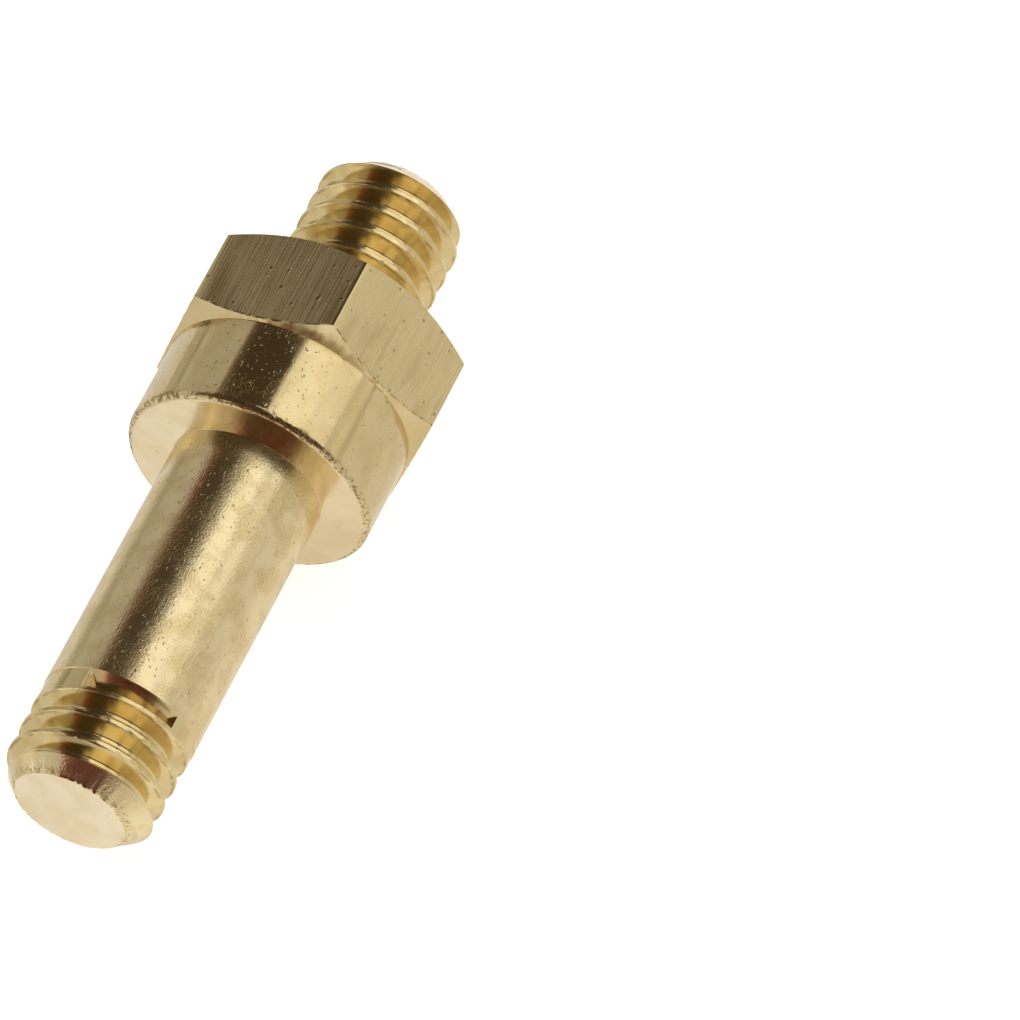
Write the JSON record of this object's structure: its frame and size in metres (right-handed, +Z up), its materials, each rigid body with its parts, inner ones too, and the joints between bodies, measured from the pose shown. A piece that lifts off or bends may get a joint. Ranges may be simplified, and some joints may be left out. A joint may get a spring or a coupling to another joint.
{
  "type": "battery terminal bolt",
  "caption": "Turned brass terminal bolt: a short screw for the battery, a hexagon for the wrench, and a round collar with a plain stud that ends in a screw.",
  "frame": {"origin": "centre of the bottom of the box around the bolt as it lies at rest, on the surface that it lies on", "axes": "+Z up; +X along the bolt's length towards the battery screw, which stands a little higher because the hexagon is wider than the collar; +Y to the left of that"},
  "size_m": [0.0472, 0.0184, 0.0161],
  "materials": {
    "turned_brass": "bright turned brass with drawn flats and cut threads"
  },
  "bodies": {
    "root": {"terminal_bolt": "turned_brass"}
  },
  "joints": []
}
